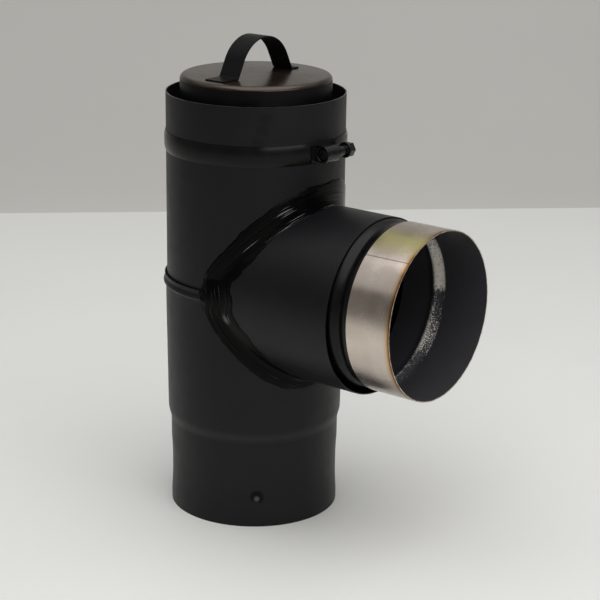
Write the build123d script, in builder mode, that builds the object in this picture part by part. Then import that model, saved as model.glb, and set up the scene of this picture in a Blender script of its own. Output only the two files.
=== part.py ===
from build123d import *
import math
import os

os.makedirs("parts", exist_ok=True)

# Main pipe, axis on Z, bottom edge at z = 0
pipe_radius = 75.0
sheet = 0.9

# Branch, axis along +X
branch_height = 201.0
branch_inset = 1.4
branch_end = 132.0

# Lap joint: the upper body ends inside the belled collar of the lower one
lap_below = 15.0
lap_gap = 0.1
lap_room = 2.0
collar_below = 4.8
collar_swell = 2.9
collar_settle = 3.9
collar_lip = 3.7
collar_proud = 1.9
lip_proud = 1.0

# Lower body: reduced spigot with a soft waist, shoulder and slight taper
spigot_fit = 1.7
spigot_length = 75.0
foot_length = 8.0
waist_height = 33.0
waist_depth = 0.9
neck_length = 15.0
shoulder_rise = 13.0
taper_drop = 1.25

# Pressed dimple in the bottom spigot
dimple_angle = -48.6
dimple_height = 26.7
dimple_sphere = 12.0
dimple_depth = 1.8

# Stainless outlet spigot, lifted until it meets the top of the sleeve's bore
outlet_gap = 2.9
outlet_sheet = 0.8
outlet_fit = 0.05
outlet_length = 41.0
groove_back = 1.0
groove_length = 18.0
groove_depth = 2.6
flange_back = 26.0
flange_thick = 1.0

# Brushed sealant skin over the branch joint, a rounded V seen from the side
seal_thick = 0.7
seal_lift = 2.5
seal_angle = 48.2
seal_tip = 11.5
seal_round = 35.0
seal_on_branch = 5.5

# Worm drive clamp round the socket, clear of the sealant
clamp_over_seal = 12.75
clamp_below_rim = 40.0
band_width = 17.0
band_proud = 1.4
band_edge = 0.3
band_slope = 3.8
band_fit = 0.05
tail_thick = 0.9
tail_width = 14.0
tail_before = 9.5
tail_after = 14.0
drive_angle = -5.5
screw_radius = 5.3
screw_fit = 0.15
screw_recess = 1.0
housing_wall = 1.5
housing_length = 15.0
housing_seat = 0.03
shank_radius = 4.0
shank_length = 11.4
head_length = 7.3
head_flats = 10.8
head_flange = 6.5
flange_length = 1.4
slot_width = 1.4
slot_depth = 1.8

# Rolled stop under the band, which the cap's skirt rests on
stop_depth = 1.6
stop_half = 4.5
stop_slope = 1.5
stop_fit = 0.3

# Cap, a stepped plug in the socket
cap_sheet = 0.9
cap_fit = 0.5
cap_rise = 14.0
step_below_rim = 14.5
crown_gap = 10.9
crown_round = 4.0
step_round = 2.0

# Cap handle, a bent strap along Y
strap_width = 20.0
strap_thick = 1.0
handle_half = 34.5
handle_rise = 31.7
leg_angle = 62.7
foot_left = 18.0
foot_right = 9.0
foot_bend = 2.5

# Places and radii that follow from the sizes above
branch_radius = pipe_radius - branch_inset
branch_bore = branch_radius - sheet
socket_bore = pipe_radius - sheet
lower_radius = pipe_radius + lap_gap + sheet
spigot_radius = socket_bore - spigot_fit
shoulder_radius = lower_radius - taper_drop
shoulder_top = spigot_length + shoulder_rise
lap_bottom = branch_height - lap_below
collar_bottom = branch_height - collar_below
collar_peak = collar_bottom + collar_swell
collar_neck = collar_peak + collar_settle
collar_top = collar_neck + collar_lip
seal_height = branch_height + seal_lift
seal_slope = math.tan(math.radians(seal_angle))
seal_top = seal_height + (pipe_radius + seal_tip) * seal_slope
clamp_height = seal_top + clamp_over_seal + 0.5 * band_width
pipe_height = clamp_height + clamp_below_rim
reach = pipe_height + branch_end
branch_place = Location((0, 0, branch_height), (0, 90, 0))
upward = (Align.CENTER, Align.CENTER, Align.MIN)


def lower_outline(grow):
    """Draw the outside of the lower body from the bottom up, moved out by grow."""
    spigot = spigot_radius + grow
    body = lower_radius + grow
    neck = spigot_length - neck_length
    Line((spigot, 0), (spigot, foot_length))
    ThreePointArc((spigot, foot_length), (spigot - waist_depth, waist_height), (spigot, neck))
    Line((spigot, neck), (spigot, spigot_length))
    shoulder = (shoulder_radius + grow, shoulder_top)
    Spline((spigot, spigot_length), shoulder, tangents=[(0, 1), (0, 1)])
    Polyline(shoulder, (body, lap_bottom - lap_room), (body, collar_bottom))
    Spline(
        (body, collar_bottom), (body + collar_proud, collar_peak), (body + lip_proud, collar_neck),
        (body + lip_proud, collar_top), tangents=[(0, 1), (0, 1)],
    )


# Space of the branch bore, cut through the pipe wall
with BuildPart() as branch_space:
    with Locations(branch_place):
        Cylinder(branch_bore, reach, align=upward)

# Space inside the lower body, less the inward bump of the dimple
with BuildPart() as lower_space:
    with BuildSketch(Plane.XZ):
        with BuildLine():
            lower_outline(-sheet)
            mouth = lower_radius + lip_proud - sheet
            Polyline((mouth, collar_top), (0, collar_top), (0, 0), (spigot_radius - sheet, 0))
        make_face()
    revolve(axis=Axis.Z)
    with Locations(Location((0, 0, dimple_height), (0, 0, dimple_angle))):
        with Locations((spigot_radius - waist_depth - dimple_depth + dimple_sphere, 0, 0)):
            Sphere(dimple_sphere + sheet, mode=Mode.SUBTRACT)

with BuildPart() as lower_body:
    with BuildSketch(Plane.XZ):
        with BuildLine():
            lower_outline(0)
            Polyline((lower_radius + lip_proud, collar_top), (0, collar_top), (0, 0), (spigot_radius, 0))
        make_face()
    revolve(axis=Axis.Z)
    with Locations(Location((0, 0, dimple_height), (0, 0, dimple_angle))):
        with Locations((spigot_radius - waist_depth - dimple_depth + dimple_sphere, 0, 0)):
            Sphere(dimple_sphere, mode=Mode.SUBTRACT)
    add(lower_space.part, mode=Mode.SUBTRACT)
    add(branch_space.part, mode=Mode.SUBTRACT)
lower_body.part.label = "lower_body"
export_step(lower_body.part, "parts/lower_body.step")

# The rolled stop is a groove outside and a ridge inside
stop_low = clamp_height - stop_half
stop_high = clamp_height + stop_half
with BuildPart() as upper_body:
    with BuildSketch(Plane.XZ):
        with BuildLine():
            Polyline(
                (pipe_radius, lap_bottom), (pipe_radius, stop_low - stop_slope),
                (pipe_radius - stop_depth, stop_low), (pipe_radius - stop_depth, stop_high),
                (pipe_radius, stop_high + stop_slope),
                (pipe_radius, pipe_height), (socket_bore, pipe_height), (socket_bore, stop_high + stop_slope),
                (socket_bore - stop_depth, stop_high), (socket_bore - stop_depth, stop_low),
                (socket_bore, stop_low - stop_slope), (socket_bore, lap_bottom), close=True,
            )
        make_face()
    revolve(axis=Axis.Z)
    add(branch_space.part, mode=Mode.SUBTRACT)
upper_body.part.label = "upper_body"
export_step(upper_body.part, "parts/upper_body.step")

# Filled outer shape of both bodies, which trims what sits on them
with BuildPart() as body_shape:
    with BuildSketch(Plane.XZ):
        with BuildLine():
            lower_outline(0)
            Polyline(
                (lower_radius + lip_proud, collar_top), (pipe_radius, collar_top), (pipe_radius, pipe_height),
                (0, pipe_height), (0, 0), (spigot_radius, 0),
            )
        make_face()
    revolve(axis=Axis.Z)

# The sleeve is cut to sit on the outside of the two bodies
with BuildPart() as branch_sleeve:
    with Locations(branch_place):
        Cylinder(branch_radius, branch_end, align=upward)
        Cylinder(branch_bore, branch_end, align=upward, mode=Mode.SUBTRACT)
    add(body_shape.part, mode=Mode.SUBTRACT)
branch_sleeve.part.label = "branch_sleeve"
export_step(branch_sleeve.part, "parts/branch_sleeve.step")

outlet_radius = branch_bore - outlet_gap
outlet_height = branch_height + outlet_gap - outlet_fit
outlet_axis = Axis((0, 0, outlet_height), (1, 0, 0))
groove_start = branch_end - groove_back
groove_end = groove_start + groove_length
outlet_end = groove_end + outlet_length
flange_start = branch_end - flange_back


def outlet_outline(shrink):
    """Draw half of the outlet spigot's section about its axis, with its radius cut by shrink."""
    side = outlet_height + outlet_radius - shrink
    middle = (0.5 * (groove_start + groove_end), side - groove_depth)
    Line((flange_start, side), (groove_start, side))
    Spline((groove_start, side), middle, (groove_end, side), tangents=[(1, 0), (1, 0)])
    Polyline(
        (groove_end, side), (outlet_end, side), (outlet_end, outlet_height),
        (flange_start, outlet_height), (flange_start, side),
    )


# The inner end is closed to the sleeve's bore by a plain ring flange
with BuildPart() as outlet_spigot:
    with Locations(Location((flange_start, 0, branch_height), (0, 90, 0))):
        Cylinder(branch_bore, flange_thick, align=upward)
    with BuildSketch(Plane.XZ):
        with BuildLine():
            outlet_outline(0)
        make_face()
    revolve(axis=outlet_axis)
    with BuildSketch(Plane.XZ):
        with BuildLine():
            outlet_outline(outlet_sheet)
        make_face()
    revolve(axis=outlet_axis, mode=Mode.SUBTRACT)
outlet_spigot.part.label = "outlet_spigot"
export_step(outlet_spigot.part, "parts/outlet_spigot.step")

# Patch of sealant on the bodies, trimmed by a rounded V drawn in the side view
with BuildPart() as body_patch:
    with BuildSketch(Plane.XZ):
        with BuildLine():
            lower_outline(seal_thick)
            coated = pipe_radius + seal_thick
            lip = lower_radius + lip_proud + seal_thick
            Polyline(
                (lip, collar_top), (lip, collar_top + seal_thick), (coated, collar_top + seal_thick),
                (coated, pipe_height), (0, pipe_height), (0, 0), (spigot_radius + seal_thick, 0),
            )
        make_face()
    revolve(axis=Axis.Z)
    with BuildSketch(Plane.XZ):
        with BuildLine():
            arm = pipe_radius + branch_radius
            rise = (arm + seal_tip) * seal_slope
            edge = FilletPolyline(
                (arm, seal_height - rise), (-seal_tip, seal_height), (arm, seal_height + rise),
                radius=seal_round,
            )
            Line(edge @ 1, edge @ 0)
        make_face()
    extrude(amount=reach, both=True, mode=Mode.INTERSECT)

# The sealant also laps on to the branch as far as a slightly larger pipe would reach
with BuildPart() as seam_sealant:
    with Locations(branch_place):
        Cylinder(branch_radius + seal_thick, branch_end, align=upward)
    Cylinder(pipe_radius + seal_on_branch, reach, align=upward, mode=Mode.INTERSECT)
    add(body_patch.part)
    add(body_shape.part, mode=Mode.SUBTRACT)
    with Locations(branch_place):
        Cylinder(branch_radius, branch_end, align=upward, mode=Mode.SUBTRACT)
seam_sealant.part.label = "seam_sealant"
export_step(seam_sealant.part, "parts/seam_sealant.step")

# Band ring with sloped edges, its free end lying over it under the worm
band_inner = pipe_radius + band_fit
band_outer = pipe_radius + band_proud
tail_outer = band_outer + tail_thick
with BuildPart() as clamp_band:
    with BuildSketch(Plane.XZ):
        with BuildLine():
            low = clamp_height - 0.5 * band_width
            high = clamp_height + 0.5 * band_width
            Polyline(
                (band_inner, low), (band_inner + band_edge, low), (band_outer, low + band_slope),
                (band_outer, high - band_slope), (band_inner + band_edge, high), (band_inner, high),
                close=True,
            )
        make_face()
    revolve(axis=Axis.Z)
    with BuildSketch(Plane.XZ.rotated((0, 0, drive_angle - tail_before))):
        with Locations((0.5 * (band_inner + band_edge + tail_outer), clamp_height)):
            Rectangle(tail_outer - band_inner - band_edge, tail_width)
    revolve(axis=Axis.Z, revolution_arc=tail_before + tail_after)
clamp_band.part.label = "clamp_band"
export_step(clamp_band.part, "parts/clamp_band.step")

# The worm screw runs along the tangent at drive_angle, with its head towards +Y
screw_reach = tail_outer + screw_fit + screw_radius
screw_bore = screw_radius + screw_fit
housing_outer = screw_bore + housing_wall
drive = Location((0, 0, clamp_height), (0, 0, drive_angle))
housing_end = drive * Location((screw_reach, -0.5 * housing_length, 0), (-90, 0, 0))
with BuildPart() as clamp_housing:
    with Locations(housing_end):
        Cylinder(housing_outer, housing_length, align=upward)
    with Locations(drive * Location((screw_reach, 0, 0))):
        inward = (Align.MAX, Align.CENTER, Align.CENTER)
        Box(screw_reach - pipe_radius, housing_length, 2 * housing_outer, align=inward)
    with Locations(housing_end):
        Cylinder(screw_bore, housing_length, align=upward, mode=Mode.SUBTRACT)
    Cylinder(tail_outer + housing_seat, reach, align=upward, mode=Mode.SUBTRACT)
clamp_housing.part.label = "clamp_housing"
export_step(clamp_housing.part, "parts/clamp_housing.step")

head_place = drive * Location((screw_reach, 0.5 * housing_length + shank_length, 0), (-90, 0, 0))
screw_start = drive * Location((screw_reach, screw_recess - 0.5 * housing_length, 0), (-90, 0, 0))
with BuildPart() as clamp_screw:
    with Locations(screw_start):
        Cylinder(screw_radius, housing_length - screw_recess, align=upward)
        Cylinder(shank_radius, housing_length - screw_recess + shank_length, align=upward)
    with Locations(head_place):
        Cylinder(head_flange, flange_length, align=upward)
    with BuildSketch(Plane(head_place)):
        RegularPolygon(0.5 * head_flats, 6, major_radius=False)
    extrude(amount=head_length)
    with Locations(head_place * Location((0, 0, head_length))):
        Box(slot_width, 2 * head_flats, 2 * slot_depth, mode=Mode.SUBTRACT)
clamp_screw.part.label = "clamp_screw"
export_step(clamp_screw.part, "parts/clamp_screw.step")

# The cap's skirt slides in the socket and its bottom edge meets the slope of the stop
cap_top = pipe_height + cap_rise
cap_step = pipe_height - step_below_rim
crown_radius = socket_bore - crown_gap
skirt_radius = socket_bore - cap_fit
skirt_bottom = stop_high + stop_slope * (1 - cap_fit / stop_depth) + stop_fit


def cap_outline(inset):
    """Draw one side of the cap's folded sheet, inset from its outside, and return the line."""
    return FilletPolyline(
        (0, cap_top - inset), (crown_radius - inset, cap_top - inset),
        (crown_radius - inset, cap_step - inset), (skirt_radius - inset, cap_step - inset),
        (skirt_radius - inset, skirt_bottom),
        radius=[crown_round - inset, step_round + inset, step_round + cap_sheet - inset],
    )


with BuildPart() as cap_pan:
    with BuildSketch(Plane.XZ):
        with BuildLine():
            outside = cap_outline(0)
            inside = cap_outline(cap_sheet)
            Line(outside @ 0, inside @ 0)
            Line(outside @ 1, inside @ 1)
        make_face()
    revolve(axis=Axis.Z)
cap_pan.part.label = "cap_pan"
export_step(cap_pan.part, "parts/cap_pan.step")

# The strap is drawn along its under side, then thickened upwards
leg = math.radians(leg_angle)
leg_meet = cap_top + handle_half * math.tan(leg)
arch_radius = (leg_meet - cap_top - handle_rise + strap_thick) / (1 / math.cos(leg) - 1)
with BuildPart() as cap_handle:
    with BuildSketch(Plane.YZ):
        with BuildLine():
            FilletPolyline(
                (-handle_half - foot_left, cap_top), (-handle_half, cap_top), (0, leg_meet),
                (handle_half, cap_top), (handle_half + foot_right, cap_top),
                radius=[foot_bend, arch_radius, foot_bend],
            )
            offset(amount=strap_thick, side=Side.LEFT)
        make_face()
    extrude(amount=0.5 * strap_width, both=True)
cap_handle.part.label = "cap_handle"
export_step(cap_handle.part, "parts/cap_handle.step")
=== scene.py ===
"""Looks of a stove pipe tee: black painted sheet, a brushed seam, a stainless outlet and a worm drive clamp."""
import math

import bmesh
import bpy
import numpy as np
from mathutils import Matrix, Vector, noise


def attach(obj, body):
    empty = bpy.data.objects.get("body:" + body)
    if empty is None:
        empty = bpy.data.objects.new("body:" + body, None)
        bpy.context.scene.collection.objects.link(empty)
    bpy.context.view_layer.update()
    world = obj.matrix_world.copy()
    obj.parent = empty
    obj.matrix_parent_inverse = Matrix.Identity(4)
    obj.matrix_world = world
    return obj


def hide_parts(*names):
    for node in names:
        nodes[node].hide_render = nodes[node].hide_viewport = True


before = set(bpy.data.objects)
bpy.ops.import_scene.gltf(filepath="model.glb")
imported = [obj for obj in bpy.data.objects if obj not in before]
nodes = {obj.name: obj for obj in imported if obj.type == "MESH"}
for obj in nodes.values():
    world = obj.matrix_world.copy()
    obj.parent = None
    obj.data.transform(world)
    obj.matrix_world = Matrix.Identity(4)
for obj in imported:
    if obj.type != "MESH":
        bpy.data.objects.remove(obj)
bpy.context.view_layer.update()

mm = 0.001

# Sizes and places in millimetres and degrees, as in the CAD
pipe_radius = 75.0
rim_height = 361.495
shoulder_line = 80.2
dimple_place = (47.3, -53.6, 26.7)
branch_height = 201.0
branch_radius = 73.6
seal_height = 203.5
outlet_height = 203.85
outlet_radius = 69.8
outlet_end = 190.0
groove_start = 131.0
groove_end = 149.0
clamp_height = 321.495
drive_angle = -5.5
screw_reach = 82.75
screw_radius = 5.3
housing_length = 15.0

# Worn and marked places, and places of painted light and shade, in millimetres; those on the outlet are at angles
# from its far side over its top
shoulder_highlight_reach = 5.5
smudges = [((53.5, -52.6, 352.5), 9.0), ((51.3, -54.7, 343.0), 8.0), ((49.0, -56.8, 334.0), 8.0)]
blisters = [((-21.1, -74.5, 203.2), 3.2), ((-17.6, -75.4, 203.0), 2.2)]
dimple_reach = 7.0
dimple_shade_core = 4.8
dimple_highlight_spot = (46.4, -52.6, 24.6)
wet_glint = (29.5, -67.3, 186.0)
streaks_from, streaks_full = 200.0, 225.0
heat_length = 6.0
patch_angle, patch_half, patch_core = 112.0, 16.0, 3.0
tube_seam_angle, tube_seam_half, tube_seam_core = 130.0, 0.55, 0.25
ridge_crest = 0.5 * (groove_start + groove_end) + 3.5
ridge_half, ridge_core = 6.0, 4.5


# ---------------------------------------------------------------- helpers

# Sockets of a Mix node for colours: the colour under, the colour over it and the result
mix_under, mix_over, mix_out = 6, 7, 2
# Most of a noise texture lies in this span
noise_span = {"From Min": 0.3, "From Max": 0.7}
weld_distance = 2e-6
fold_angle = math.radians(30)


def linear(colour):
    """Linear RGBA of an sRGB hex colour."""
    parts = [int(colour[i:i + 2], 16) / 255 for i in (1, 3, 5)]
    return [c / 12.92 if c <= 0.04045 else ((c + 0.055) / 1.055) ** 2.4 for c in parts] + [1.0]


def add(tree, kind, sockets=None, **settings):
    """Add a node with its settings; sockets maps an input to its value or to the output that feeds it."""
    made = tree.nodes.new(kind)
    for name, value in settings.items():
        setattr(made, name, value)
    for name, value in (sockets or {}).items():
        if isinstance(value, bpy.types.NodeSocket):
            tree.links.new(value, made.inputs[name])
        else:
            made.inputs[name].default_value = value
    return made


def new_finish(name, even):
    """Start a material with its even values; return it with its tree, its shader and its place on the piece."""
    made = bpy.data.materials.new(name)
    made.use_nodes = True
    tree = made.node_tree
    shader = tree.nodes["Principled BSDF"]
    for socket, value in even.items():
        shader.inputs[socket].default_value = value
    return made, tree, shader, add(tree, "ShaderNodeTexCoord").outputs["Object"]


def set_ramp(ramp_node, stops):
    """Give a colour ramp its stops: pairs of position and sRGB hex colour."""
    elements = ramp_node.color_ramp.elements
    while len(elements) < len(stops):
        elements.new(0.5)
    for element, (position, colour) in zip(elements, stops):
        element.position = position
        element.color = linear(colour)


def set_spray_grain(tree, shader, place):
    """Give a finish the grain of sprayed paint, which is finer than a pixel and so is drawn 1.6 mm wide."""
    grain = add(tree, "ShaderNodeTexNoise", {"Vector": place, "Scale": 1 / (1.6 * mm), "Detail": 2.0})
    bump = add(tree, "ShaderNodeBump", {"Height": grain.outputs["Fac"], "Strength": 0.06, "Distance": 0.2 * mm})
    tree.links.new(bump.outputs["Normal"], shader.inputs["Normal"])


def plain_finish(name, even, texture, tones, gloss=None, relief=None, sprayed=False):
    """A finish that follows one noise: in its tones, its span of roughness and its relief (strength and mm)."""
    made, tree, shader, place = new_finish(name, even)
    pattern = add(tree, "ShaderNodeTexNoise", {"Vector": place, **texture}).outputs["Fac"]
    shade = add(tree, "ShaderNodeValToRGB", {"Fac": pattern})
    set_ramp(shade, tones)
    tree.links.new(shade.outputs["Color"], shader.inputs["Base Color"])
    if gloss:
        sheen = add(tree, "ShaderNodeMapRange", {"Value": pattern, **noise_span,
                                                 "To Min": gloss[0], "To Max": gloss[1]})
        tree.links.new(sheen.outputs["Result"], shader.inputs["Roughness"])
    if relief:
        bump = add(tree, "ShaderNodeBump", {"Height": pattern, "Strength": relief[0], "Distance": relief[1] * mm})
        tree.links.new(bump.outputs["Normal"], shader.inputs["Normal"])
    if sprayed:
        set_spray_grain(tree, shader, place)
    return made


def near_spot(tree, place, spot, outer, inner=0.0):
    """Mask that grows from 0 at an outer distance from a spot to 1 at an inner one, all in millimetres."""
    far = add(tree, "ShaderNodeVectorMath", {0: place, 1: [v * mm for v in spot]}, operation="DISTANCE")
    mask = add(tree, "ShaderNodeMapRange", {"Value": far.outputs["Value"], "From Min": outer * mm,
                                            "From Max": inner * mm})
    return mask.outputs["Result"]


def near_level(tree, value, level, outer, inner=0.0, strongest=1.0):
    """Mask that grows from 0 at an outer distance from a level to its strongest at an inner one."""
    apart = add(tree, "ShaderNodeMath", {0: value, 1: level}, operation="SUBTRACT")
    off = add(tree, "ShaderNodeMath", {0: apart.outputs[0]}, operation="ABSOLUTE")
    mask = add(tree, "ShaderNodeMapRange", {"Value": off.outputs[0], "From Min": outer, "From Max": inner,
                                            "To Max": strongest})
    return mask.outputs["Result"]


def round_outlet(tree, place):
    """Distance along the outlet and angle about its axis, from its far side over its top."""
    axes = add(tree, "ShaderNodeSeparateXYZ", {"Vector": place})
    lift = add(tree, "ShaderNodeMath", {0: axes.outputs["Z"], 1: outlet_height * mm}, operation="SUBTRACT")
    turn = add(tree, "ShaderNodeMath", {0: lift.outputs[0], 1: axes.outputs["Y"]}, operation="ARCTAN2")
    return axes.outputs["X"], turn.outputs[0]


def new_piece(name, mesh, body, replaced=()):
    """Put a finished mesh in the scene on its body, in place of the CAD nodes it stands for."""
    made = bpy.data.objects.new(name, mesh)
    bpy.context.scene.collection.objects.link(made)
    if replaced:
        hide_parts(*replaced)
    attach(made, body)
    return made


def merged_copy(node_name):
    """A copy of a CAD node's mesh with its corners merged, smooth except at its folds."""
    work = bmesh.new()
    work.from_mesh(nodes[node_name].data)
    bmesh.ops.remove_doubles(work, verts=work.verts, dist=weld_distance)
    for face in work.faces:
        face.smooth = True
    for edge in work.edges:
        edge.smooth = len(edge.link_faces) == 2 and edge.calc_face_angle(0.0) < fold_angle
    return work


def closed_mesh(work, name, finishes):
    """Turn an edited copy into a new mesh with its finishes."""
    mesh = bpy.data.meshes.new(name)
    work.to_mesh(mesh)
    work.free()
    for finish in finishes:
        mesh.materials.append(finish)
    return mesh


# ---------------------------------------------------------------- finishes

# Heat-resistant paint, sprayed on rolled sheet: satin black, a grey sheen at grazing angles, faint blotches
stove_paint, tree, shader, place = new_finish("stove_paint_satin_black", {"Specular IOR Level": 0.23})
blotch = add(tree, "ShaderNodeTexNoise", {"Vector": place, "Scale": 1 / (60 * mm), "Detail": 3.0,
                                          "Roughness": 0.55})
shade = add(tree, "ShaderNodeValToRGB", {"Fac": blotch.outputs["Fac"]})
set_ramp(shade, [(0.30, "#0c0c0f"), (0.70, "#101013")])
# A painted highlight: the paint is drawn a little lighter along the shoulder of the lower body, where light catches
# it
height = add(tree, "ShaderNodeSeparateXYZ", {"Vector": place}).outputs["Z"]
shoulder_highlight = near_level(tree, height, shoulder_line * mm, shoulder_highlight_reach * mm)
lightened = add(tree, "ShaderNodeMix", {"Factor": shoulder_highlight, mix_under: shade.outputs["Color"],
                                     mix_over: linear("#1f1f22")}, data_type="RGBA")
# Finger smudges under the rim and a burst blister on the collar: dull black, with ragged edges
marks = 0.0
for spot, reach in smudges + blisters:
    mark = near_spot(tree, place, spot, reach)
    marks = add(tree, "ShaderNodeMath", {0: marks, 1: mark}, operation="MAXIMUM").outputs[0]
tatter = add(tree, "ShaderNodeTexNoise", {"Vector": place, "Scale": 1 / (4 * mm), "Detail": 3.0})
torn = add(tree, "ShaderNodeMath", {0: marks, 1: tatter.outputs["Fac"]}, operation="ADD")
dull = add(tree, "ShaderNodeMapRange", {"Value": torn.outputs[0], "From Min": 0.60, "From Max": 1.15,
                                        "To Max": 0.8}).outputs["Result"]
stained = add(tree, "ShaderNodeMix", {"Factor": dull, mix_under: lightened.outputs[mix_out],
                                      mix_over: linear("#020202")}, data_type="RGBA")
tree.links.new(stained.outputs[mix_out], shader.inputs["Base Color"])
mist = add(tree, "ShaderNodeTexNoise", {"Vector": place, "Scale": 1 / (14 * mm), "Detail": 4.0,
                                        "Roughness": 0.6})
sheen = add(tree, "ShaderNodeMapRange", {"Value": mist.outputs["Fac"], **noise_span,
                                         "To Min": 0.40, "To Max": 0.48})
matt = add(tree, "ShaderNodeMath", {0: dull, 1: 0.2, 2: sheen.outputs["Result"]}, operation="MULTIPLY_ADD")
tree.links.new(matt.outputs[0], shader.inputs["Roughness"])
set_spray_grain(tree, shader, place)

# Clamp band, painted by brush along its length: smoother and glossier black than the pipe
band_paint = plain_finish(
    "band_paint_gloss_black", {"Specular IOR Level": 0.2}, {"Scale": 1 / (12 * mm), "Detail": 3.0},
    [(0.30, "#09090b"), (0.70, "#0e0e10")], gloss=(0.20, 0.27), relief=(0.04, 0.6))

# Cut rim of the painted sheet, rubbed bare: a thin dull grey line
worn_rim = plain_finish(
    "sheet_rim_rubbed_steel", {"Metallic": 1.0, "Roughness": 0.42}, {"Scale": 1 / (6 * mm), "Detail": 3.0},
    [(0.35, "#3b3a39"), (0.60, "#8d8b87")])

# The sheet's paint burnished and dusty on the crown of the cap: satin, brownish, so it mirrors the room softly
cap_paint = plain_finish(
    "cap_paint_satin_black", {"Specular IOR Level": 0.75, "Specular Tint": linear("#ffe6d2")},
    {"Scale": 1 / (35 * mm), "Detail": 4.0, "Roughness": 0.6},
    [(0.30, "#130e0c"), (0.70, "#1b1310")], gloss=(0.20, 0.29), sprayed=True)

# Matt black on the wall of the cap and on its handle: deep, with hardly any sheen; on the wall, within the socket,
# this darker copy of the cap's paint is painted shade
cap_matt_and_wall_shade = plain_finish(
    "cap_paint_matt_black", {"Specular IOR Level": 0.12}, {"Scale": 1 / (20 * mm), "Detail": 3.0},
    [(0.30, "#060607"), (0.70, "#0b0b0c")], gloss=(0.36, 0.46))

# Paint in the pressed dimple, with painted shade and a painted highlight: darker towards its middle, fading into the
# sheet at its edge, with a light spot low in it
dimple_paint, tree, shader, place = new_finish(
    "dimple_paint_painted_shade_and_highlight", {"Specular IOR Level": 0.12, "Roughness": 0.45})
# Painted shade: darker towards the dimple's middle
dimple_shade = near_spot(tree, place, dimple_place, dimple_reach, dimple_shade_core)
shade = add(tree, "ShaderNodeValToRGB", {"Fac": dimple_shade})
set_ramp(shade, [(0.0, "#222224"), (1.0, "#050505")])
# Painted highlight: a light spot low in the dimple
lightened = add(tree, "ShaderNodeMix", {"Factor": near_spot(tree, place, dimple_highlight_spot, 3.0, 0.8),
                                     mix_under: shade.outputs["Color"], mix_over: linear("#515153")},
             data_type="RGBA")
tree.links.new(lightened.outputs[mix_out], shader.inputs["Base Color"])

# Clamp steel painted over by brush: thick glossy black with small lumps
clamp_paint = plain_finish(
    "clamp_paint_gloss_black", {"Specular IOR Level": 0.35}, {"Scale": 1 / (3 * mm), "Detail": 3.0},
    [(0.35, "#070708"), (0.75, "#111112")], gloss=(0.18, 0.36), relief=(0.40, 0.5))

# Heat-proof seam paste, put on with a stiff brush: black, wet-looking, with long bristle marks
seam_paste, tree, shader, place = new_finish("seam_paste_brushed_black", {"Specular IOR Level": 0.08})
stroke = add(tree, "ShaderNodeUVMap", uv_map="stroke").outputs["UV"]
long_marks = add(tree, "ShaderNodeMapping", {"Vector": stroke, "Scale": (1 / (50 * mm), 1 / (1.2 * mm), 1.0)})
bristles = add(tree, "ShaderNodeTexNoise", {"Vector": long_marks.outputs["Vector"], "Scale": 1.0, "Detail": 4.0,
                                            "Roughness": 0.65})
shade = add(tree, "ShaderNodeValToRGB", {"Fac": bristles.outputs["Fac"]})
set_ramp(shade, [(0.35, "#020202"), (0.75, "#060606")])
# Painted highlights: thin light streaks along a few bristle ridges, about 0.7 mm wide and 40 mm long, in patches,
# standing for glints on the wet paste
thin_marks = add(tree, "ShaderNodeMapping", {"Vector": stroke, "Location": (3.7, 9.1, 0.0),
                                             "Scale": (1 / (40 * mm), 1 / (0.7 * mm), 1.0)})
threads = add(tree, "ShaderNodeTexNoise", {"Vector": thin_marks.outputs["Vector"], "Scale": 1.0, "Detail": 2.0})
patches = add(tree, "ShaderNodeTexNoise", {"Vector": place, "Scale": 1 / (30 * mm), "Detail": 1.0})
massed = add(tree, "ShaderNodeMath", {0: patches.outputs["Fac"], 1: 0.5, 2: threads.outputs["Fac"]},
             operation="MULTIPLY_ADD")
# Most painted streaks are above the branch's side, and one painted glint is below it, at the paste's inner edge
height = add(tree, "ShaderNodeSeparateXYZ", {"Vector": place}).outputs["Z"]
upper = add(tree, "ShaderNodeMapRange", {"Value": height, "From Min": streaks_from * mm,
                                         "From Max": streaks_full * mm, "To Min": 0.15})
glint_spot = near_spot(tree, place, wet_glint, 9.0, 3.0)
kept = add(tree, "ShaderNodeMath", {0: upper.outputs["Result"], 1: glint_spot}, operation="MAXIMUM")
glint_boost = add(tree, "ShaderNodeMath", {0: glint_spot, 1: 0.2, 2: massed.outputs[0]}, operation="MULTIPLY_ADD")
bright = add(tree, "ShaderNodeMapRange", {"Value": glint_boost.outputs[0], "From Min": 0.95, "From Max": 1.01,
                                          "To Max": 0.9})
streak_highlights = add(tree, "ShaderNodeMath", {0: bright.outputs["Result"], 1: kept.outputs[0]}, operation="MULTIPLY")
highlighted = add(tree, "ShaderNodeMix", {"Factor": streak_highlights.outputs[0], mix_under: shade.outputs["Color"],
                                       mix_over: linear("#a8a9a8")}, data_type="RGBA")
tree.links.new(highlighted.outputs[mix_out], shader.inputs["Base Color"])
wet = add(tree, "ShaderNodeMapRange", {"Value": bristles.outputs["Fac"], "From Min": 0.3, "From Max": 0.75,
                                       "To Min": 0.10, "To Max": 0.30})
tree.links.new(wet.outputs["Result"], shader.inputs["Roughness"])
bump = add(tree, "ShaderNodeBump", {"Height": bristles.outputs["Fac"], "Strength": 0.35, "Distance": 0.6 * mm})
tree.links.new(bump.outputs["Normal"], shader.inputs["Normal"])

# Gloss lacquer in the outlet's rolled groove: deep black with clear reflections
groove_lacquer = plain_finish(
    "groove_lacquer_gloss_black", {"Specular IOR Level": 0.2}, {"Scale": 1 / (8 * mm), "Detail": 2.0},
    [(0.35, "#050505"), (0.70, "#0a0909")], gloss=(0.26, 0.36), relief=(0.06, 0.6))

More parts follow.
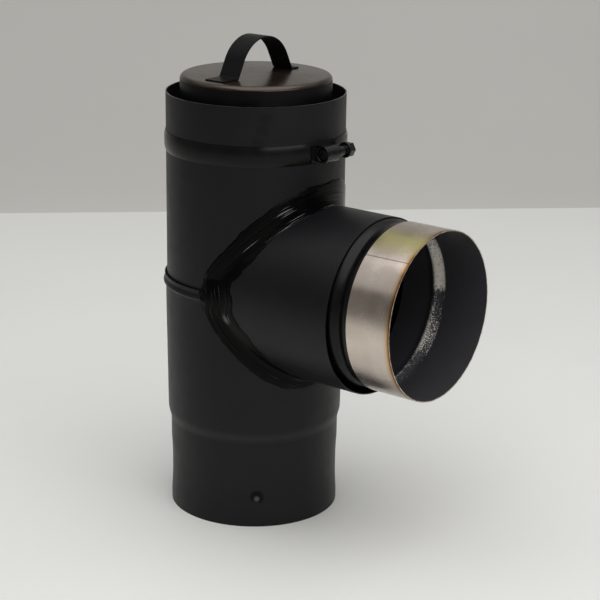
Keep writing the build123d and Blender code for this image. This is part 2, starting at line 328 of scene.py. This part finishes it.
# Stainless sheet, dull rolled: warm silver with fine lines round the tube, straw and brown where heat ran
bare_steel, tree, shader, place = new_finish("stainless_rolled_heat_tinted", {"Metallic": 1.0})
along, turn = round_outlet(tree, place)
cloud = add(tree, "ShaderNodeTexNoise", {"Vector": place, "Scale": 1 / (22 * mm), "Detail": 3.0})
silver = add(tree, "ShaderNodeValToRGB", {"Fac": cloud.outputs["Fac"]})
set_ramp(silver, [(0.30, "#c3b6ab"), (0.70, "#d6cbc1")])
# Heat tint: straw, then brown, over the last few millimetres before the mouth
edge = add(tree, "ShaderNodeMapRange", {"Value": along, "From Min": (outlet_end - heat_length) * mm,
                                        "From Max": outlet_end * mm})
tint = add(tree, "ShaderNodeValToRGB", {"Fac": edge.outputs["Result"]})
set_ramp(tint, [(0.0, "#ffffff"), (0.50, "#f3e8d3"), (0.80, "#cd9a5c"), (0.97, "#7b5029")])
tinted = add(tree, "ShaderNodeMix", {"Factor": 1.0, mix_under: silver.outputs["Color"],
                                     mix_over: tint.outputs["Color"]}, data_type="RGBA", blend_type="MULTIPLY")
# Straw green patch near the top, on the near side
patch = near_level(tree, turn, math.radians(patch_angle), math.radians(patch_half), math.radians(patch_core), 0.75)
greened = add(tree, "ShaderNodeMix", {"Factor": patch, mix_under: tinted.outputs[mix_out],
                                      mix_over: linear("#c6bd78")}, data_type="RGBA")
# Butt seam of the rolled tube, a thin dark line along it
tube_seam = near_level(tree, turn, math.radians(tube_seam_angle), tube_seam_half / outlet_radius,
                       tube_seam_core / outlet_radius, 0.65)
seamed = add(tree, "ShaderNodeMix", {"Factor": tube_seam, mix_under: greened.outputs[mix_out],
                                     mix_over: linear("#3a332e")}, data_type="RGBA")
tree.links.new(seamed.outputs[mix_out], shader.inputs["Base Color"])
sheen = add(tree, "ShaderNodeMapRange", {"Value": cloud.outputs["Fac"], **noise_span,
                                         "To Min": 0.20, "To Max": 0.31})
tree.links.new(sheen.outputs["Result"], shader.inputs["Roughness"])
# Rolling lines lie round the tube, about 0.8 mm apart and 60 mm long
apart = add(tree, "ShaderNodeMath", {0: along, 1: 1 / (0.8 * mm)}, operation="MULTIPLY")
around = add(tree, "ShaderNodeMath", {0: turn, 1: outlet_radius / 60}, operation="MULTIPLY")
rolled = add(tree, "ShaderNodeCombineXYZ", {"X": apart.outputs[0], "Y": around.outputs[0]})
lines = add(tree, "ShaderNodeTexNoise", {"Vector": rolled.outputs[0], "Scale": 1.0, "Detail": 2.0})
bump = add(tree, "ShaderNodeBump", {"Height": lines.outputs["Fac"], "Strength": 0.10, "Distance": 0.2 * mm})
tree.links.new(bump.outputs["Normal"], shader.inputs["Normal"])

# Inside of the outlet: dark paint mist on steel, worn to pale specks on the rolled ridge; low on the ridge the pale
# specks and a pale line stand for glints, as painted highlights
mouth_lining, tree, shader, place = new_finish("outlet_lining_dark_mist", {})
along, turn = round_outlet(tree, place)
on_ridge = near_level(tree, along, ridge_crest * mm, ridge_half * mm, ridge_core * mm)
speck = add(tree, "ShaderNodeTexNoise", {"Vector": place, "Scale": 1 / (1.0 * mm), "Detail": 3.0})
# The ridge is nearly bare on the upper far side and less pale in its middle; low down, pale specks and a pale line
# along its inner flank are painted glints
sector = add(tree, "ShaderNodeMapRange", {"Value": turn, "From Min": math.radians(-60),
                                          "From Max": math.radians(60)})
cover = add(tree, "ShaderNodeFloatCurve", {"Value": sector.outputs["Result"]})
shares = cover.mapping.curves[0].points
for at, share in [(0.06, 0.32), (0.13, 0.43), (0.27, 0.43), (0.36, 0.35), (0.46, 0.34), (0.51, 0.60),
                  (0.70, 0.62), (0.82, 0.52)]:
    shares.new(at, share)
shares[0].location, shares[-1].location = (0.0, 0.30), (1.0, 0.36)
cover.mapping.update()
# A painted highlight: a pale line along the ridge's inner flank, low down
flank_highlight = add(tree, "ShaderNodeMapRange", {"Value": along, "From Min": (ridge_crest - 0.5) * mm,
                                         "From Max": (ridge_crest - 3.0) * mm, "To Max": 0.12})
lower = add(tree, "ShaderNodeMapRange", {"Value": turn, "From Min": 0.0, "From Max": math.radians(-10)})
lightened = add(tree, "ShaderNodeMath", {0: flank_highlight.outputs["Result"], 1: lower.outputs["Result"],
                                      2: cover.outputs["Value"]}, operation="MULTIPLY_ADD")
pale_sum = add(tree, "ShaderNodeMath", {0: speck.outputs["Fac"], 1: lightened.outputs[0]}, operation="ADD")
pale_specks = add(tree, "ShaderNodeMapRange", {"Value": pale_sum.outputs[0], "From Min": 0.94, "From Max": 1.06})
bright = add(tree, "ShaderNodeMath", {0: on_ridge, 1: pale_specks.outputs["Result"]}, operation="MULTIPLY")
shade = add(tree, "ShaderNodeMix", {"Factor": bright.outputs[0], mix_under: linear("#39393d"),
                                    mix_over: linear("#f0ece2")}, data_type="RGBA")
tree.links.new(shade.outputs[mix_out], shader.inputs["Base Color"])
mist = add(tree, "ShaderNodeTexNoise", {"Vector": place, "Scale": 1 / (10 * mm), "Detail": 3.0})
sheen = add(tree, "ShaderNodeMapRange", {"Value": mist.outputs["Fac"], **noise_span,
                                         "To Min": 0.34, "To Max": 0.46})
polish = add(tree, "ShaderNodeMath", {0: bright.outputs[0], 1: -0.16, 2: sheen.outputs["Result"]},
             operation="MULTIPLY_ADD")
tree.links.new(polish.outputs[0], shader.inputs["Roughness"])
bump = add(tree, "ShaderNodeBump", {"Height": speck.outputs["Fac"], "Strength": 0.15, "Distance": 0.3 * mm})
tree.links.new(bump.outputs["Normal"], shader.inputs["Normal"])

# Cut edge of the stainless tube: bare and bright
cut_edge = plain_finish(
    "stainless_cut_edge", {"Metallic": 1.0, "Roughness": 0.3}, {"Scale": 1 / (4 * mm), "Detail": 2.0},
    [(0.35, "#8a7c6c"), (0.65, "#cfc8be")])


# ---------------------------------------------------------------- painted sheet and cap

end_slack = 0.01
crown_lean = 0.15


def on_rim(face):
    """Only the socket's top rim shows bare metal."""
    return face.calc_center_median().z > (rim_height - end_slack) * mm


def in_dimple(face):
    """The pressed dimple takes the paint with its painted shade and highlight."""
    return (face.calc_center_median() - Vector(dimple_place) * mm).length < dimple_reach * mm


def on_cap_wall(face):
    """Only the cap's crown and its rounded edge take the satin paint; the rest takes the darker matt one, which on
    the wall is painted shade.
    """
    return face.normal.z < crown_lean


for node_name, finishes, has_second in [
        ("upper_body", [stove_paint, worn_rim], on_rim),
        ("lower_body", [stove_paint, dimple_paint], in_dimple),
        ("branch_sleeve", [stove_paint], None),
        ("clamp_band", [band_paint], None),
        ("cap_pan", [cap_paint, cap_matt_and_wall_shade], on_cap_wall),
        ("cap_handle", [cap_matt_and_wall_shade], None)]:
    work = merged_copy(node_name)
    for face in work.faces:
        face.material_index = 1 if has_second and has_second(face) else 0
    mesh = closed_mesh(work, node_name + "_sheet", finishes)
    slot = "cap_sheet" if node_name.startswith("cap") else "black_sheet"
    new_piece(node_name + "_sheet", mesh, "cap" if slot == "cap_sheet" else "tee", [node_name])


# ---------------------------------------------------------------- outlet spigot

work = merged_copy("outlet_spigot")
outlet_finishes = [bare_steel, groove_lacquer, mouth_lining, cut_edge]
for face in work.faces:
    middle = face.calc_center_median()
    outward = Vector((0.0, middle.y, middle.z - outlet_height * mm)).dot(face.normal)
    if middle.x > (outlet_end - end_slack) * mm:
        finish = cut_edge
    elif outward < 0.0:
        finish = mouth_lining
    elif middle.x > groove_end * mm:
        finish = bare_steel
    else:
        finish = groove_lacquer
    face.material_index = outlet_finishes.index(finish)
new_piece("outlet_tube", closed_mesh(work, "outlet_tube", outlet_finishes), "tee", ["outlet_spigot"])


# ---------------------------------------------------------------- brushed seam

# Rows lie round the branch, and columns from the paste's edge on the bodies to its edge on the branch
seam_rows = 480
on_body_columns = 36
on_branch_columns = 22
seam_columns = on_body_columns + on_branch_columns
row_angles = [2 * math.pi * (row + 0.5) / seam_rows for row in range(seam_rows)]
# Outside of the two bodies, as heights and radii, and the softer heap that the paste makes over the collar
body_heights = [75.0, 88.0, 184.0, 196.2, 197.6, 199.4, 201.2, 203.0, 206.7, 206.9, 400.0]
body_radii = [72.4, 74.75, 76.0, 76.0, 77.1, 77.95, 77.6, 77.05, 77.0, 75.05, 75.0]
heap_heights = [75.0, 88.0, 184.0, 190.0, 195.0, 199.4, 203.0, 206.7, 212.0, 218.0, 400.0]
heap_radii = [72.4, 74.75, 76.0, 76.3, 77.2, 78.0, 77.8, 77.3, 76.2, 75.15, 75.0]
heap_blend = 0.3
# The V that the paste's edge makes on the bodies, in millimetres, and its margin from the crease in degrees
v_slope = 1.17
v_tip = 11.5
v_round = 12.0
v_droop = 0.09
lower_droop = 15.0
tip_reach = 0.09
side_margin, middle_margin, tip_margin = 10.7, 4.0, 6.1
last_turn = math.radians(89.6)
# How far the paste laps on to the branch, from the side of the branch to its top and to its underside
lap_climb = [0.0, 0.1, 0.2, 0.32, 0.46, 0.58, 0.78, 1.0]
lap_above = [11.5, 11.0, 13.0, 11.0, 6.5, 3.0, 3.2, 4.5]
lap_below = [11.5, 15.0, 16.8, 15.5, 11.0, 10.5, 8.0, 6.0]
# Waves of the two ragged edges: share, width in millimetres and seed
body_waves = [(0.07, 11.0, 3.1), (0.04, 3.5, 7.7)]
lap_waves = [(0.14, 12.0, 21.0), (0.06, 3.5, 27.0)]
# Thickness, with ridges left by the bristles: height, wander round the branch, spacing and seed
paste_thick = 0.55
paste_taper = 1.2
paste_tuck = 0.1
bristle_ridges = [(0.20, 2.2, 2.4, 0.0), (0.10, 4.5, 1.1, 40.0)]
fillet_columns = 7.0
fillet_passes = 16


def body_point(turn, height, heap):
    """Point at an angle about the pipe: on the bodies where heap is 0, on the heap of paste where it is 1."""
    on_body = np.interp(height, body_heights, body_radii)
    on_heap = np.interp(height, heap_heights, heap_radii)
    radius = (1 - heap) * on_body + heap * on_heap
    return np.array([radius * math.cos(turn), radius * math.sin(turn), height])


def wander(angle, reach, at):
    """Smooth noise from -1 to 1 round the branch, the same at both ends of the loop."""
    return noise.noise(Vector((reach * math.cos(angle), reach * math.sin(angle), at)))


def ragged(angle, waves):
    """Factor near 1 that wanders along the seam."""
    return 1.0 + sum(share * wander(angle, branch_radius / width, seed) for share, width, seed in waves)


def seam_section(angle):
    """Points across the seam at an angle round the branch: from its edge on the bodies to its edge on the branch."""
    side = math.copysign(1.0, math.cos(angle))
    level = math.copysign(1.0, math.sin(angle))
    climb = math.asin(min(1.0, abs(math.sin(angle)))) / (0.5 * math.pi)
    y = branch_radius * math.cos(angle)
    z = branch_height + branch_radius * math.sin(angle)
    crease_turn = math.asin(abs(y) / np.interp(z, heap_heights, heap_radii))
    crease_x = body_point(crease_turn, z, 1.0)[0]
    # At the side of the branch both arms of the V close in a rounded tip
    spread = climb * climb
    tip = math.exp(-(climb / tip_reach) ** 2)
    margin = side_margin * (1 - spread) + middle_margin * math.sin(math.pi * spread) + tip_margin * tip
    edge_turn = crease_turn + math.radians(margin)
    edge_x = pipe_radius * math.cos(min(edge_turn, last_turn))
    rise = v_slope * math.sqrt(max(0.0, (edge_x + v_tip) ** 2 - v_round ** 2))
    rise *= (1 - v_droop * spread) * math.sqrt(1 - tip)
    if level < 0:
        rise -= lower_droop * spread * spread
    tear = ragged(angle, body_waves)
    edge_turn = crease_turn + (edge_turn - crease_turn) * tear
    edge_z = z + (seal_height + level * rise - z) * tear
    lap = np.interp(climb, lap_climb, lap_above if level > 0 else lap_below) * ragged(angle, lap_waves)
    on_body = [body_point(side * (edge_turn + (crease_turn - edge_turn) * t), edge_z + (z - edge_z) * t,
                          min(1.0, t / heap_blend))
               for t in np.linspace(0.0, 1.0, on_body_columns, endpoint=False)]
    on_branch = [np.array([crease_x + lap * t, y, z]) for t in np.linspace(0.0, 1.0, on_branch_columns)]
    return np.array(on_body + on_branch)


bed = np.array([seam_section(angle) for angle in row_angles])
# Near the crease the paste is pulled into a fillet
fillet = np.exp(-((np.arange(seam_columns) - on_body_columns) / fillet_columns) ** 2)[None, :, None]
smoothed = bed.copy()
for _ in range(fillet_passes):
    smoothed[:, 1:-1] = 0.25 * smoothed[:, :-2] + 0.5 * smoothed[:, 1:-1] + 0.25 * smoothed[:, 2:]
skin = bed * (1 - fillet) + smoothed * fillet
across = np.gradient(skin, axis=1)
round_branch = np.roll(skin, -1, axis=0) - np.roll(skin, 1, axis=0)
facing = np.cross(across, round_branch)
facing /= np.linalg.norm(facing, axis=2, keepdims=True)
joint_middle = np.array([0.0, 0.0, branch_height])
facing *= np.sign(np.sum(facing * (skin - joint_middle), axis=2, keepdims=True))
# Runs are measured across the paste, from its edge on the bodies and from the crease
steps = np.linalg.norm(np.diff(skin, axis=1), axis=2)
run = np.concatenate([np.zeros((seam_rows, 1)), np.cumsum(steps, axis=1)], axis=1)
from_crease = run - run[:, on_body_columns:on_body_columns + 1]
lift = np.zeros((seam_rows, seam_columns))
for row, angle in enumerate(row_angles):
    for column in range(seam_columns):
        from_edge = min(run[row, column], run[row, -1] - run[row, column])
        full = min(1.0, from_edge / paste_taper)
        ridges = sum(tall * wander(angle, reach, from_crease[row, column] / spacing + seed)
                     for tall, reach, spacing, seed in bristle_ridges)
        lift[row, column] = full * (paste_thick + ridges) - paste_tuck * (1 - full)
skin = skin + facing * lift[:, :, None]

points = np.concatenate([skin.reshape(-1, 3), bed.reshape(-1, 3)]) * mm
count = seam_rows * seam_columns
faces = []
for row in range(seam_rows):
    following = (row + 1) % seam_rows
    for column in range(seam_columns - 1):
        a, b = row * seam_columns + column, row * seam_columns + column + 1
        c, d = following * seam_columns + column + 1, following * seam_columns + column
        faces += [(a, b, c, d), (d + count, c + count, b + count, a + count)]
    for column in (0, seam_columns - 1):
        a, d = row * seam_columns + column, following * seam_columns + column
        faces.append((a, d, d + count, a + count) if column == 0 else (d, a, a + count, d + count))
mesh = bpy.data.meshes.new("seam_paste")
mesh.from_pydata(points.tolist(), [], faces)
# The UV map runs along the strokes, in metres, so that the finish can follow the brush
stroke_map = mesh.uv_layers.new(name="stroke")
corner_points = np.empty(len(mesh.loops), dtype=np.int32)
mesh.loops.foreach_get("vertex_index", corner_points)
grid = corner_points % count
stroke = np.stack([(grid // seam_columns) * (2 * math.pi / seam_rows) * branch_radius * mm,
                   from_crease.reshape(-1)[grid] * mm], axis=1)
stroke_map.data.foreach_set("uv", stroke.astype(np.float32).reshape(-1))
mesh.materials.append(seam_paste)
work = bmesh.new()
work.from_mesh(mesh)
bmesh.ops.recalc_face_normals(work, faces=work.faces)
for face in work.faces:
    face.smooth = True
work.to_mesh(mesh)
work.free()
new_piece("seam_paste", mesh, "tee", ["seam_sealant"])


# ---------------------------------------------------------------- clamp housing and screw

housing_round = 0.25
head_round = 0.3
round_from = math.radians(35)
thread_inset = 1.0
thread_pitch = 2.6
thread_room = 0.05
ridge_radius = 0.7
core_overlap = 0.3
cut_clearance = 0.1
thread_start = thread_inset - 0.5 * housing_length
thread_length = housing_length - thread_inset

# The screw's own frame: its axis along the tangent of the band
drive = Matrix.Rotation(math.radians(drive_angle), 4, "Z") @ Matrix.Translation(
    (screw_reach * mm, 0.0, clamp_height * mm)) @ Matrix.Rotation(math.radians(-90), 4, "X")


def softened(work, name, width, finish):
    """Turn an edited copy into a mesh with its folded edges rounded by a width in millimetres."""
    holder = bpy.data.objects.new(name, closed_mesh(work, name, [finish]))
    bpy.context.scene.collection.objects.link(holder)
    rounding = holder.modifiers.new("rounding", "BEVEL")
    rounding.width = width * mm
    rounding.segments = 2
    rounding.limit_method = "ANGLE"
    rounding.angle_limit = round_from
    made = bpy.data.meshes.new_from_object(holder.evaluated_get(bpy.context.evaluated_depsgraph_get()))
    bpy.data.objects.remove(holder)
    return made


new_piece("worm_housing", softened(merged_copy("clamp_housing"), "worm_housing", housing_round, clamp_paint),
          "tee", ["clamp_housing"])

# The worm thread is a ridge wound round the shank by Geometry Nodes
thread_tree = bpy.data.node_groups.new("worm_thread", "GeometryNodeTree")
for name, kind in [("Turns", "NodeSocketFloat"), ("Radius", "NodeSocketFloat"), ("Length", "NodeSocketFloat"),
                   ("Ridge", "NodeSocketFloat"), ("Finish", "NodeSocketMaterial")]:
    thread_tree.interface.new_socket(name, in_out="INPUT", socket_type=kind)
thread_tree.interface.new_socket("Geometry", in_out="OUTPUT", socket_type="NodeSocketGeometry")
given = add(thread_tree, "NodeGroupInput").outputs
helix = add(thread_tree, "GeometryNodeCurveSpiral", {
    "Resolution": 40, "Rotations": given["Turns"], "Start Radius": given["Radius"],
    "End Radius": given["Radius"], "Height": given["Length"]})
ridge = add(thread_tree, "GeometryNodeCurvePrimitiveCircle", {"Resolution": 8, "Radius": given["Ridge"]})
wound = add(thread_tree, "GeometryNodeCurveToMesh", {
    "Curve": helix.outputs["Curve"], "Profile Curve": ridge.outputs["Curve"], "Fill Caps": True})
real = add(thread_tree, "GeometryNodeRealizeInstances", {"Geometry": wound.outputs["Mesh"]})
painted = add(thread_tree, "GeometryNodeSetMaterial", {
    "Geometry": real.outputs["Geometry"], "Material": given["Finish"]})
add(thread_tree, "NodeGroupOutput", {"Geometry": painted.outputs["Geometry"]})

holder = bpy.data.objects.new("worm_thread", bpy.data.meshes.new("worm_thread"))
bpy.context.scene.collection.objects.link(holder)
winding = holder.modifiers.new("winding", "NODES")
winding.node_group = thread_tree
sizes = {"Turns": thread_length / thread_pitch, "Radius": (screw_radius - ridge_radius - thread_room) * mm,
         "Length": (thread_length - 2 * ridge_radius) * mm, "Ridge": ridge_radius * mm, "Finish": clamp_paint}
for item in thread_tree.interface.items_tree:
    if item.in_out == "INPUT":
        winding[item.identifier] = sizes[item.name]
thread_mesh = bpy.data.meshes.new_from_object(holder.evaluated_get(bpy.context.evaluated_depsgraph_get()))
holder.modifiers.remove(winding)
bpy.data.objects.remove(holder)
thread_mesh.transform(drive @ Matrix.Translation((0.0, 0.0, (thread_start + ridge_radius) * mm)))

# The head and shank are the CAD screw's own, with softened corners; the core under the thread is slimmer
work = merged_copy("clamp_screw")
to_screw = drive.inverted()
thread_end = (0.5 * housing_length + cut_clearance) * mm
threaded = [face for face in work.faces if (to_screw @ face.calc_center_median()).z < thread_end]
bmesh.ops.delete(work, geom=threaded, context="FACES")
head_mesh = softened(work, "screw_head", head_round, clamp_paint)
core_radius = (screw_radius - 2 * ridge_radius + core_overlap) * mm
core_middle = Matrix.Translation((0.0, 0.0, (thread_start + 0.5 * thread_length) * mm))
work = bmesh.new()
bmesh.ops.create_cone(work, cap_ends=True, segments=48, radius1=core_radius, radius2=core_radius,
                      depth=thread_length * mm, matrix=drive @ core_middle)
for face in work.faces:
    face.smooth = len(face.verts) == 4
work.from_mesh(thread_mesh)
work.from_mesh(head_mesh)
for face in work.faces:
    face.material_index = 0
new_piece("worm_screw", closed_mesh(work, "worm_screw", [clamp_paint]), "screw", ["clamp_screw"])


# ---------------------------------------------------------------- stage, light and camera

# The camera in millimetres and degrees, with its focal length and shift in pixels of a square picture
view_turn = math.radians(37.9839)
view_lift = math.radians(18.2556)
view_roll = math.radians(0.7872)
view_distance = 1567.4631
aim_right, aim_height = 39.0291, 148.4914
picture_side = 600
focal_pixels = 1813.5898
shift_pixels = 35.1401
sensor_width = 36.0

# The board and the sweep in metres, with distances taken away from the camera
board_left, board_right = -0.8, 0.85
board_back = 1.013
board_depth = 1.56
board_turn = math.radians(5.3)
sweep_half = 6.0
sweep_front = -6.0
sweep_top = 3.0
sweep_drop = 0.004
cove_start = 1.15
cove_radius = 1.25

right = Vector((math.cos(view_turn), math.sin(view_turn), 0.0))
away = Vector((-math.sin(view_turn), math.cos(view_turn), 0.0))
overhead = Vector((0.0, 0.0, 1.0))
back = math.sin(view_lift) * overhead - math.cos(view_lift) * away
up = back.cross(right)

# Satin white board underfoot: bright, even, with a soft contact shadow
floor_board = plain_finish(
    "floor_board_satin_white", {"Roughness": 0.55}, {"Scale": 1 / 0.5, "Detail": 2.0},
    [(0.3, "#e4e4e1"), (0.7, "#e9e9e6")])
board_side = Matrix.Rotation(board_turn, 4, "Z") @ right
floor_mesh = bpy.data.meshes.new("floor")
floor_mesh.from_pydata([tuple(away * (board_back + y) + board_side * x) for x, y in
                        ((board_left, -board_depth), (board_right, -board_depth),
                         (board_right, 0.0), (board_left, 0.0))], [], [(0, 1, 2, 3)])
floor_mesh.materials.append(floor_board)
floor = bpy.data.objects.new("floor", floor_mesh)

# Pale grey paper sweep under and behind the board: flat and dull
sweep_paper = plain_finish(
    "sweep_paper_pale_grey", {"Roughness": 0.9}, {"Scale": 1 / 0.8, "Detail": 2.0},
    [(0.3, "#c6c5c1"), (0.7, "#cac9c5")])
# It turns up on a round that is slow enough to leave room for a camera behind the object
cove = [math.radians(a) for a in range(0, 91, 6)]
rises = [(sweep_front, 0.0)]
rises += [(cove_start + cove_radius * math.sin(a), cove_radius - cove_radius * math.cos(a)) for a in cove]
rises += [(cove_start + cove_radius, sweep_top)]
sweep_mesh = bpy.data.meshes.new("sweep")
sweep_mesh.from_pydata([tuple(away * d + right * x + overhead * (z - sweep_drop))
                        for d, z in rises for x in (-sweep_half, sweep_half)], [],
                       [(2 * i, 2 * i + 1, 2 * i + 3, 2 * i + 2) for i in range(len(rises) - 1)])
for face in sweep_mesh.polygons:
    face.use_smooth = True
sweep_mesh.materials.append(sweep_paper)
sweep = bpy.data.objects.new("sweep", sweep_mesh)
for staged in (floor, sweep):
    bpy.context.scene.collection.objects.link(staged)

world = bpy.data.worlds.new("studio")
bpy.context.scene.world = world
world.use_nodes = True
world.node_tree.nodes["Background"].inputs["Color"].default_value = linear("#f4f2ee")
world.node_tree.nodes["Background"].inputs["Strength"].default_value = 0.2


def soft_box(name, place, target, width, height, power):
    """A large soft light at a place, facing a target, in metres and watts."""
    lamp = bpy.data.lights.new(name, "AREA")
    lamp.shape = "RECTANGLE"
    lamp.size, lamp.size_y, lamp.energy = width, height, power
    made = bpy.data.objects.new(name, lamp)
    made.location = place
    made.rotation_euler = (Vector(target) - Vector(place)).to_track_quat("-Z", "Y").to_euler()
    bpy.context.scene.collection.objects.link(made)


# A wide dim ceiling, the key light high on the right, and a low strip on the right
soft_box("ceiling_light", (0.0, 0.0, 2.4), (0.0, 0.0, 0.0), 6.4, 6.4, 50.0)
soft_box("key_light", (0.52, -0.36, 1.90), (0.05, 0.0, 0.1), 2.6, 2.6, 33.0)
soft_box("right_light", (1.93, -0.52, 0.78), (0.03, 0.0, 0.2), 2.0, 0.35, 5.2)

lens = bpy.data.cameras.new("camera")
lens.sensor_width = sensor_width
lens.lens = focal_pixels / picture_side * sensor_width
lens.shift_y = shift_pixels / picture_side
lens.clip_start = 0.05
camera = bpy.data.objects.new("camera", lens)
aim = aim_right * right + aim_height * overhead
camera_right = math.cos(view_roll) * right + math.sin(view_roll) * up
camera_up = -math.sin(view_roll) * right + math.cos(view_roll) * up
turned = Matrix((camera_right, camera_up, back)).transposed().to_4x4()
camera.matrix_world = Matrix.Translation((aim + view_distance * back) * mm) @ turned
bpy.context.scene.collection.objects.link(camera)
bpy.context.scene.camera = camera
bpy.context.scene.view_settings.view_transform = "Standard"
